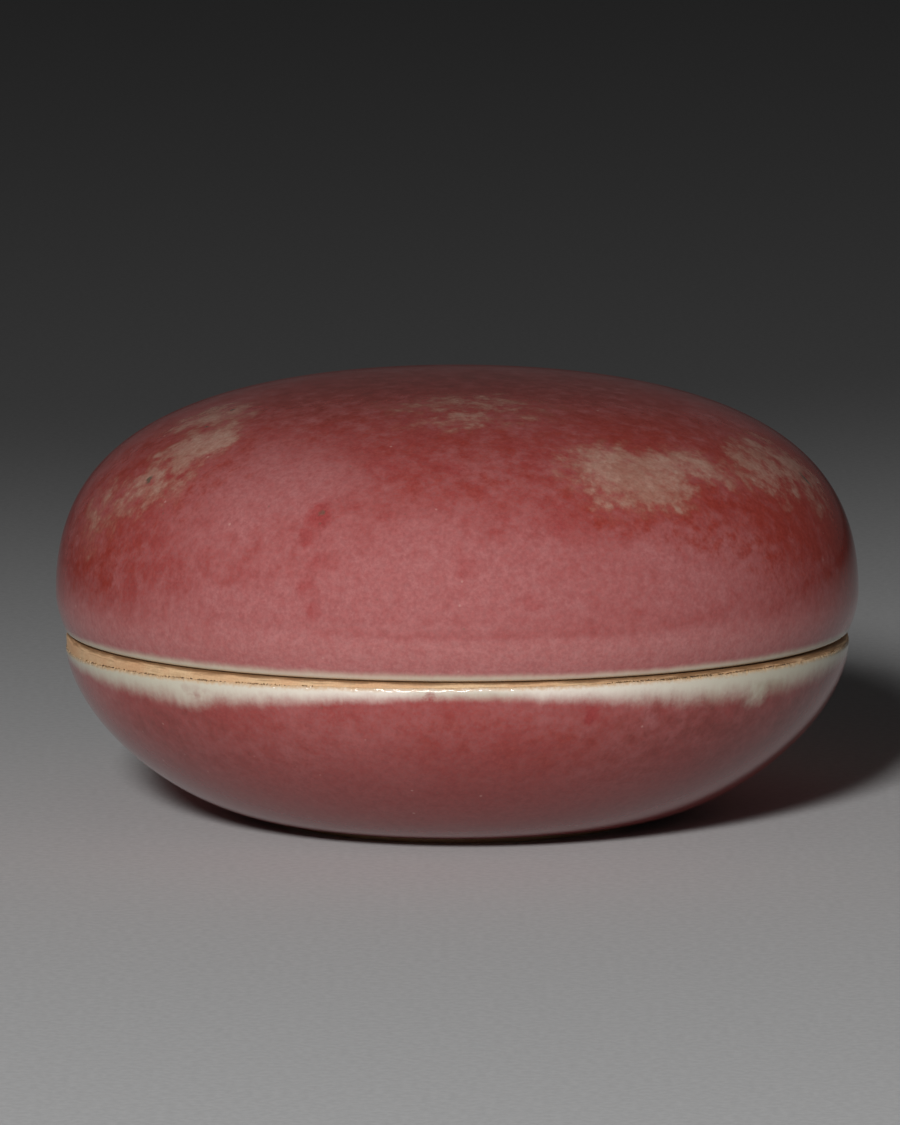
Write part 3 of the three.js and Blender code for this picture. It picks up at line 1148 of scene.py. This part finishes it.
@dataclass
class Cover:
    """The domed cover: a fired body, a rose glaze over it and a clear lining."""

    belly_radius: float = 36.0
    crown_height: float = 40.0
    rim_height: float = SEAM_HEIGHT
    rim_radius: float = 35.3
    rim_rounding: float = 0.5
    belly_height: float = 20.65
    socket_radius: float = 33.5
    socket_chamfer: float = 0.3
    socket_bare: float = 2.0
    crown_wall: float = 3.0
    shoulder_fullness: float = 0.645
    crown_fullness: float = 0.727
    dome_steps: int = 140
    flank_steps: int = 30
    edge: RimWave = RimWave(0.12, waver=0.08, waver_scale=9.0, seed=3.0)
    band: RimWave = RimWave(0.7, lobe=0.06, lobe_count=3, waver=0.12, waver_scale=10.0, seed=5.0)
    lining_edge: RimWave = RimWave(2.1, waver=0.25, waver_scale=5.0, seed=8.0)
    flow: GlazeFlow = GlazeFlow(
        mottling=1.4, white=srgb("c8b6a2"), feather=0.65, fringe=0.2, thin_reach=4.1, settled=0.0, bead=0.02
    )

    def dome(self) -> Outline:
        """The outside of the dome, from the belly up to the crown."""
        rise = self.crown_height - self.belly_height
        return bezier(
            (self.belly_radius, self.belly_height),
            (self.belly_radius, self.belly_height + rise * self.shoulder_fullness),
            (self.belly_radius * self.crown_fullness, self.crown_height),
            (0.0, self.crown_height),
            self.dome_steps,
        )

    def outside(self) -> Outline:
        """Draw the seen outside.

        Returns:
            The outline, from the rim's flat face up to the crown.
        """
        start = self.rim_height + self.rim_rounding
        low, high = (self.rim_radius, start), (self.belly_radius, self.belly_height)
        bend = (self.belly_radius, (start + self.belly_height) / 2)
        edge = quarter((self.rim_radius - self.rim_rounding, start), self.rim_rounding, -90)
        flank = bezier(low, toward(low, bend, 2 / 3), toward(high, bend, 2 / 3), high, self.flank_steps)
        return joined(edge, flank, self.dome())

    def inside(self) -> Outline:
        """Draw the hollow.

        Returns:
            The outline, from the mouth of the socket up to the crown.
        """
        hollow = walled(self.dome(), self.belly_radius - self.socket_radius, self.crown_wall)
        hollow[-1] = (0.0, self.crown_height - self.crown_wall)
        return joined([(self.socket_radius, self.rim_height + self.socket_chamfer)], hollow)

    def body_outline(self) -> Outline:
        """Draw the fired body, drawn in under its glazes.

        Returns:
            The outline, from the hollow's crown round the rim to the dome's.
        """
        hollow = to_axis(sunk(self.inside(), -BODY_SUNK, self.socket_bare - 0.6, self.socket_bare))
        shell = to_axis(sunk(self.outside(), BODY_SUNK, 0.0, 0.3))
        face = [(self.socket_radius + self.socket_chamfer, self.rim_height)]
        return joined(reversed(hollow), face, shell)

    def marks(self) -> list[GlazeMark]:
        """What the kiln left on the cover, with painted shade and sheen, down from the crown."""
        table = {
            # pale band round the lower dome: partly pink cloud, partly painted sheen in front and at the
            # right edge
            Mark.BLOOM: (
                (-4, 41, 46, 15, 0, 0.82), (-33, 33, 22, 16, 0, 0.8), (38, 41, 30, 10, 0, 0.75),
                (180, 41, 60, 14, 0, 0.8), (115, 41, 30, 12, 0, 0.7), (-115, 41, 34, 12, 0, 0.7),
                (-29, 44, 22, 8, 0, 0.9), (36, 45.5, 22, 6, 0, 0.6), (86, 42, 10, 12, 0, 0.8),
            ),
            Mark.BLUSH: (
                (0, 8, 46, 34, 0, 0.65), (-62, 30, 24, 22, 0, 0.65), (-66, 40, 18, 12, 0, 0.7),
                (34, 33, 22, 10, -10, 0.8), (44, 24, 22, 14, 0, 0.72), (47, 34, 14, 12, 0, 0.6),
                (62, 34, 20, 20, 0, 0.95), (78, 39, 18, 20, 0, 1.2), (4, 24, 32, 10, 0, 0.4),
                (3, 31, 26, 9, 0, 0.33), (145, 25, 40, 20, 0, 0.75), (-130, 29, 44, 18, 0, 0.8),
                (178, 35, 34, 12, 0, 0.45),
            ),
            # painted shade on the front of the crown
            Mark.DUSK: (
                (0, 8, 46, 22, 0, 0.48),
            ),
            Mark.PALE: (
                (-56.5, 28, 8.5, 9, 0, 0.98), (-68.5, 23.5, 10, 8, 0, 0.7), (-59.5, 34, 9, 7, 0, 0.62),
                (-68, 37, 8, 8, 0, 0.52), (-52.5, 33, 6, 7, 0, 0.5), (4.2, 15.2, 18, 7, 0, 0.47),
                (3.2, 20, 16, 6, 0, 0.45), (31, 30.4, 12, 9, -15, 1.12), (25.5, 28.8, 8, 5, 0, 0.75),
                (40, 29.4, 9, 7, -30, 0.78), (48.5, 30.6, 9, 6, -40, 0.66), (56.5, 32.4, 9, 6, -30, 0.58),
                (64, 31, 8, 9, -30, 0.7), (73, 33, 9, 9, 0, 0.72), (136, 23, 12, 9, 20, 0.85),
                (147, 28, 10, 7, 30, 0.6), (119, 33, 8, 7, 0, 0.5), (-122, 31, 13, 9, -20, 0.95),
                (-135, 26, 9, 7, -15, 0.6), (-108, 35, 8, 6, -15, 0.5), (-160, 17, 12, 7, 0, 0.45),
            ),
            Mark.SPOT: (
                (-21.4, 34.9, 2.6, 3.5, -25, 0.68), (-22.6, 36.9, 1.9, 2.5, 0, 0.53),
                (-19.5, 39.4, 4, 2.4, 0, 0.47), (-21.6, 41.4, 2.4, 2.8, -15, 0.46),
                (-20.5, 43.6, 2.2, 2.2, 0, 0.4), (-31.4, 41, 2.8, 2.4, 0, 0.42),
                (15.2, 36, 2.2, 2.2, 0, 0.46), (1.2, 39.4, 2.8, 2.6, 0, 0.42),
                (10.5, 42.5, 2.4, 2, 0, 0.34), (-0.6, 29, 2.2, 2.4, 0, 0.45), (-13.2, 29.1, 4, 3, 0, 0.4),
                (160, 37, 2.4, 3, 15, 0.6), (156, 40, 2.8, 1.8, 0, 0.45), (-166, 41, 2.2, 2.4, 0, 0.45),
                (104, 39, 2.4, 2.2, 0, 0.5),
            ),
            Mark.MOSS: (
                (-21.1, 34.6, 0.7, 0.6, 0, 0.6), (-59.7, 33.1, 1, 1, 0, 0.85),
                (-63.3, 25.3, 0.7, 0.6, 0, 0.75), (-68.1, 21.8, 0.8, 0.7, 0, 0.75),
                (73.6, 34.2, 1, 1.8, 0, 0.7), (138, 24, 0.9, 0.8, 0, 0.75), (-121, 32, 1, 0.8, 0, 0.75),
            ),
        }
        return marks_of(table)

    def build(self, shop: Workshop) -> list[Piece]:
        """Build the cover's pieces and dress them.

        Args:
            shop: What they are made with.

        Returns:
            The pieces.
        """
        glaze = shop.rose.material("cover_rose_glaze", self.flow, self.marks(), self.dome()[::-1])
        skin = GlazeSkin("cover_glaze", self.outside(), 1, self.edge, self.band, turn_steps=512, rows=110)
        lining = GlazeSkin("cover_lining", self.inside(), -1, self.lining_edge)
        return [
            settle(shop.body("cover_body", self.body_outline()), "cover"),
            settle(skin.build(shop.trees, glaze), "cover"),
            settle(lining.build(shop.trees, shop.clear), "cover"),
        ]


@dataclass
class Bowl:
    """The footed bowl: a fired body with its lip, ledge and foot ring bare, and glaze between them."""

    rim_radius: float = 35.2
    seat_height: float = 17.0
    rim_rounding: float = 0.6
    lip_radius: float = 33.0
    lip_wall: float = 1.5
    lip_height: float = 2.4
    lip_rounding: float = 0.6
    foot_radius: float = 16.5
    foot_width: float = 1.8
    foot_height: float = 0.6
    foot_flare: float = 0.5
    foot_chamfer: float = 0.2
    recess_depth: float = 1.3
    floor_wall: float = 2.6
    floor_radius: float = 8.0
    side_fullness: float = 0.47
    hip_fullness: float = 0.4
    side_steps: int = 120
    glaze_start: Point = (0.05, 0.6)
    lining_start: Point = (0.2, 0.7)
    edge: RimWave = RimWave(1.2, -0.36, 0.25, lobe=0.22, waver=0.14, waver_scale=10.0, seed=1.0)
    band: RimWave = RimWave(1.28, 0.2, lobe=-0.46, lobe_count=4, waver=0.35, waver_scale=5.0, seed=2.0)
    lining_edge: RimWave = RimWave(1.0, waver=0.3, waver_scale=5.0, seed=11.0)
    foot_edge: RimWave = RimWave(0.35, waver=0.2, seed=14.0)
    grit_gaps: RimWave = RimWave(0.55, 0.01, lobe=0.18, lobe_count=4)
    grit_count: int = 4000
    grit_size: float = 0.09
    grit_seed: int = 4
    flow: GlazeFlow = GlazeFlow(
        mottling=0.6, white=srgb("eadfd2"), feather=0.7, fringe=0.26, thin_reach=0.0, settled=0.74, bead=0.1
    )

    def side(self) -> Outline:
        """Draw the outside below the rim.

        Returns:
            The outline, from the top of the foot ring up to the rim.
        """
        foot, rim = self.foot_radius + self.foot_flare, self.seat_height - self.rim_rounding
        rise, reach = rim - self.foot_height, self.rim_radius - foot
        return bezier(
            (foot, self.foot_height),
            (foot + reach * self.hip_fullness, self.foot_height),
            (self.rim_radius, rim - rise * self.side_fullness),
            (self.rim_radius, rim),
            self.side_steps,
        )

    def outside(self) -> Outline:
        """The glazed outside, from the ledge over the rim and down to the foot ring."""
        centre = (self.rim_radius - self.rim_rounding, self.seat_height - self.rim_rounding)
        return joined(reversed(quarter(centre, self.rim_rounding, 0)), reversed(self.side()))

    def well(self) -> Outline:
        """Draw the well.

        Returns:
            The outline, from the top of the lip down to the middle of the floor.
        """
        floor = self.recess_depth + self.floor_wall
        mouth = self.lip_radius - self.lip_wall
        wall = walled(self.side(), floor - self.foot_height, self.rim_radius - mouth)
        top = self.seat_height + self.lip_height - self.lip_rounding
        return joined([(mouth, top)], reversed(wall), [(self.floor_radius, floor), (0.0, floor)])

    def recess(self) -> Outline:
        """The hollow in the foot, from the ring in to the axis."""
        inner = self.foot_radius - self.foot_width - self.foot_flare
        return [(radius, self.recess_depth) for radius in (inner, inner / 2, 0.0)]

    def body_outline(self) -> Outline:
        """Draw the fired body, drawn in under its glazes.

        Returns:
            The outline, from the recess round the foot, rim and lip to the well.
        """
        inner = self.foot_radius - self.foot_width
        lip_top = self.seat_height + self.lip_height - self.lip_rounding
        mouth = self.lip_radius - self.lip_wall
        edge = self.lip_rounding
        ring = [
            (inner, self.foot_chamfer),
            (inner + self.foot_chamfer, 0.0),
            (self.foot_radius - self.foot_chamfer, 0.0),
            (self.foot_radius, self.foot_chamfer),
        ]
        shell = sunk(self.outside(), -BODY_SUNK, *self.glaze_start)
        well = to_axis(sunk(self.well(), BODY_SUNK, *self.lining_start))
        base = [(r, z + BODY_SUNK) for r, z in reversed(self.recess())]
        lip = quarter((self.lip_radius - edge, lip_top), edge, 0) + quarter((mouth + edge, lip_top), edge, 90)
        return joined(base, ring, reversed(shell), [(self.lip_radius, self.seat_height)], lip, well)

    def marks(self) -> list[GlazeMark]:
        """What the kiln left on the bowl, with painted shade on its sides, down from the rim."""
        table = {
            Mark.BLUSH: (
                (-40, 8, 40, 12, 0, 0.3), (22, 7, 44, 12, 0, 0.42), (150, 9, 60, 12, 0, 0.4),
            ),
            # painted shade on the bowl's sides
            Mark.DUSK: (
                (44, 6, 26, 12, 0, 0.5), (66, 5, 18, 12, 0, 0.55), (-48, 6, 22, 12, 0, 0.35),
            ),
            Mark.SPOT: (
                (19.4, 2.6, 1.6, 1.9, 0, 0.95),
            ),
            Mark.BLOOM: (
                (29, 3.1, 2, 2, 0, 0.9),
            ),
            Mark.FLECK: (
                (-4, 0.4, 0.9, 0.8, 0, 0.6), (-41, 1, 2.6, 1.2, 0, 0.3),
            ),
            Mark.RUN: (
                (48.5, 3, 3, 2.8, 0, 0.5), (-42, 2.8, 4.5, 3, 0, 0.35), (165, 3.2, 3.4, 2.8, 0, 0.35),
            ),
        }
        return marks_of(table)

    def build(self, shop: Workshop) -> list[Piece]:
        """Build the bowl's pieces and dress them.

        Args:
            shop: What they are made with.

        Returns:
            The pieces.
        """
        glaze = shop.rose.material("bowl_rose_glaze", self.flow, self.marks(), self.side()[::-1])
        skin = GlazeSkin("bowl_glaze", self.outside(), -1, self.edge, self.band, False, 600, 120)
        lining = GlazeSkin("bowl_lining", self.well(), 1, self.lining_edge)
        base = GlazeSkin("foot_glaze", self.recess(), -1, self.foot_edge, turn_steps=192, rows=30)
        return [
            settle(shop.body("bowl_body", self.body_outline()), "bowl"),
            settle(skin.build(shop.trees, glaze), "bowl"),
            settle(lining.build(shop.trees, shop.clear), "bowl"),
            settle(base.build(shop.trees, shop.clear), "bowl"),
            settle(self.grit(shop.trees), "bowl"),
        ]

    def grit(self, trees: TurningTrees) -> Piece:
        """Lodge old dirt along the top edge of the glaze.

        Args:
            trees: The geometry trees.

        Returns:
            The dirt.
        """
        values = {"Count": self.grit_count, "Crumb Size": self.grit_size * MM, "Seed": self.grit_seed}
        values |= self.edge.inputs("Edge") | self.grit_gaps.inputs("Bare", 1.0)
        values |= {"Material": Grime().material("grime")}
        return grown("rim_grit", sunk(self.outside(), -GRIT_SUNK, *self.glaze_start), trees.grit, values)


# Studio


class Reach(Enum):
    """What a lamp reaches."""

    ALL = "all"
    MATT = "all, without being mirrored"
    BOX = "the box alone, without being mirrored"
    GLINT = "mirrored in the bowl alone"


@dataclass(frozen=True)
class Lamp:
    """A soft lamp that faces the box, in degrees round from the front and up, metres and watts."""

    name: str
    turn: float
    climb: float
    distance: float
    width: float
    height: float
    power: float
    reach: Reach = Reach.ALL

    def place(self, target: Vector, reached: bpy.types.Collection | None) -> None:
        """Put the lamp in the scene.

        Args:
            target: The point that it faces.
            reached: The only pieces that it reaches, if it doesn't reach all.
        """
        data = bpy.data.lights.new(self.name, "AREA")
        data.shape, data.size, data.size_y = "RECTANGLE", self.width, self.height
        data.energy = self.power
        lamp = bpy.data.objects.new(self.name, data)
        lamp.visible_camera = False
        lamp.visible_diffuse = self.reach is not Reach.GLINT
        lamp.visible_glossy = self.reach in (Reach.ALL, Reach.GLINT)
        bpy.context.scene.collection.objects.link(lamp)
        lamp.location = target + direction(self.turn, self.climb) * self.distance
        lamp.rotation_euler = (target - lamp.location).to_track_quat("-Z", "Y").to_euler()
        if reached:
            lamp.light_linking.receiver_collection = reached


def direction(turn: float, climb: float) -> Vector:
    """The direction from the box, in degrees round from the front to the right, and up."""
    turn, climb = math.radians(turn), math.radians(climb)
    return Vector((math.sin(turn) * math.cos(climb), -math.cos(turn) * math.cos(climb), math.sin(climb)))


@dataclass
class Studio:
    """A pale floor under soft light, and the camera at the viewer's place."""

    climb: float = 7.5
    distance: float = 0.9
    focal_pixels: float = 10024.0
    image_width: int = 900
    image_height: int = 1125
    axis_pixel: Point = (457.2, 594.2)
    axis_height: float = 20.0
    sensor: float = 36.0
    clip: Span = (0.05, 20.0)
    floor_half: float = 6.0
    floor_colour: Colour = srgb("d0d0d0")
    floor_shade: float = 0.9
    floor_roughness: float = 0.9
    floor_gloss: float = 0.2
    floor_grain: Noise = Noise(1.4, 3.0, 0.6)
    floor_relief: float = 0.1
    floor_bump: float = 0.2
    floor_fade: Span = (-40.0, 330.0)  # painted shade: where the floor darkens, in mm behind the box's axis
    floor_lag: float = -0.8  # added to that for each mm to the right, so the painted shade starts further back there
    # how dark the painted shade leaves the far floor
    floor_far: float = 0.28
    fill: float = 0.019
    backdrop: float = 0.036
    lamps: tuple[Lamp, ...] = (
        Lamp("key", -11.0, 22.0, 1.2, 0.17, 0.15, 12.9, Reach.MATT),
        Lamp("tent", 0.0, 24.0, 1.2, 2.0, 1.1, 0.28),
        Lamp("glint", -10.0, 21.5, 1.2, 0.6, 0.15, 12.0, Reach.GLINT),
        Lamp("rear_left", -158.0, 3.5, 1.0, 0.8, 0.1, 2.0, Reach.BOX),
        Lamp("rear_right", 160.0, 3.5, 1.0, 0.8, 0.1, 2.0, Reach.BOX),
    )

    def build(self, cover: Sequence[Piece], bowl: Sequence[Piece]) -> None:
        """Set up the floor, the light and the camera round the pieces of the box.

        Args:
            cover: The cover's pieces.
            bowl: The bowl's pieces.
        """
        self._floor()
        self._world()
        reached = {
            Reach.BOX: self._group("box_pieces", [*cover, *bowl]),
            Reach.GLINT: self._group("bowl_pieces", bowl),
        }
        for lamp in self.lamps:
            lamp.place(self._middle(), reached.get(lamp.reach))
        self._camera()
        bpy.context.scene.view_settings.view_transform = "Standard"

    def _middle(self) -> Vector:
        """The point on the box's axis that lamps and camera face."""
        return Vector((0.0, 0.0, self.axis_height * MM))

    @staticmethod
    def _group(name: str, pieces: Sequence[Piece]) -> bpy.types.Collection:
        """Gather pieces for a lamp that reaches them alone.

        Args:
            name: Name of the group.
            pieces: The pieces.

        Returns:
            The group.
        """
        group = bpy.data.collections.new(name)
        for piece in pieces:
            group.objects.link(piece)
        return group

    def _floor(self) -> None:
        """Lay a wide paper floor, with painted shade that darkens it behind the box."""
        half = self.floor_half
        corners = [(-half, -half, 0), (half, -half, 0), (half, half, 0), (-half, half, 0)]
        mesh = bpy.data.meshes.new("floor")
        mesh.from_pydata(corners, [], [(0, 1, 2, 3)])
        floor = bpy.data.objects.new("floor", mesh)
        bpy.context.scene.collection.objects.link(floor)
        material, g, place = start_material("floor_paper")
        grain = g.noise(place, self.floor_grain)
        darker = tuple(channel * self.floor_shade for channel in self.floor_colour[:3]) + (1.0,)
        paper = g.mix(g.ease(grain, *NOISE_SPREAD), darker, self.floor_colour)
        aside, back, _ = g.split(place)
        behind = g.math("MULTIPLY_ADD", g.math("MAXIMUM", aside, 0.0), self.floor_lag, back)
        # painted shade: the light's falloff behind the box
        fade = g.ease(behind, *self.floor_fade, 1.0, self.floor_far)
        feeds = {"Base Color": g.mix(1.0, paper, g.combine(fade, fade, fade), "MULTIPLY")}
        feeds |= {"Roughness": self.floor_roughness, "Specular IOR Level": self.floor_gloss}
        g.surface(feeds | {"Normal": g.bump(grain, self.floor_relief * MM, self.floor_bump)})
        mesh.materials.append(material)

    def _world(self) -> None:
        """Soft light from all round, with a backdrop of its own where it is seen or mirrored."""
        world = bpy.data.worlds.new("studio")
        world.use_nodes = True
        world.node_tree.nodes.clear()
        g = Graph(world.node_tree)
        path = g.add("ShaderNodeLightPath").outputs
        seen = g.most([path[f"Is {way} Ray"] for way in ("Camera", "Glossy", "Transmission")])
        soft, dark = (
            g.out("ShaderNodeBackground", {"Color": (1, 1, 1, 1), "Strength": strength})
            for strength in (self.fill, self.backdrop)
        )
        either = g.out("ShaderNodeMixShader", {0: seen, 1: soft, 2: dark})
        g.add("ShaderNodeOutputWorld", {"Surface": either})
        bpy.context.scene.world = world

    def _camera(self) -> None:
        """Aim the camera so that the box lands where it does in the photograph."""
        data = bpy.data.cameras.new("viewer")
        data.sensor_width = self.sensor
        data.lens = self.focal_pixels * self.sensor / self.image_height
        data.clip_start, data.clip_end = self.clip
        camera = bpy.data.objects.new("viewer", data)
        bpy.context.scene.collection.objects.link(camera)
        back, right = direction(0.0, self.climb), Vector((1.0, 0.0, 0.0))
        scale = self.distance / self.focal_pixels
        aside = right * (self.image_width / 2 - self.axis_pixel[0]) * scale
        above = back.cross(right) * (self.axis_pixel[1] - self.image_height / 2) * scale
        camera.location = self._middle() + back * self.distance + aside + above
        camera.rotation_euler = back.to_track_quat("Z", "Y").to_euler()
        bpy.context.scene.camera = camera


def main() -> None:
    """Load the solids and build the box and the studio over them."""
    logging.basicConfig(level=logging.INFO, format="%(name)s: %(message)s")
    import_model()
    clear = ClearGlaze().material("clear_glaze")
    bare = Biscuit().material("bare_porcelain")
    shop = Workshop(TurningTrees(), RoseGlaze(), clear, bare)
    Studio().build(Cover().build(shop), Bowl().build(shop))


if __name__ == "__main__":
    main()
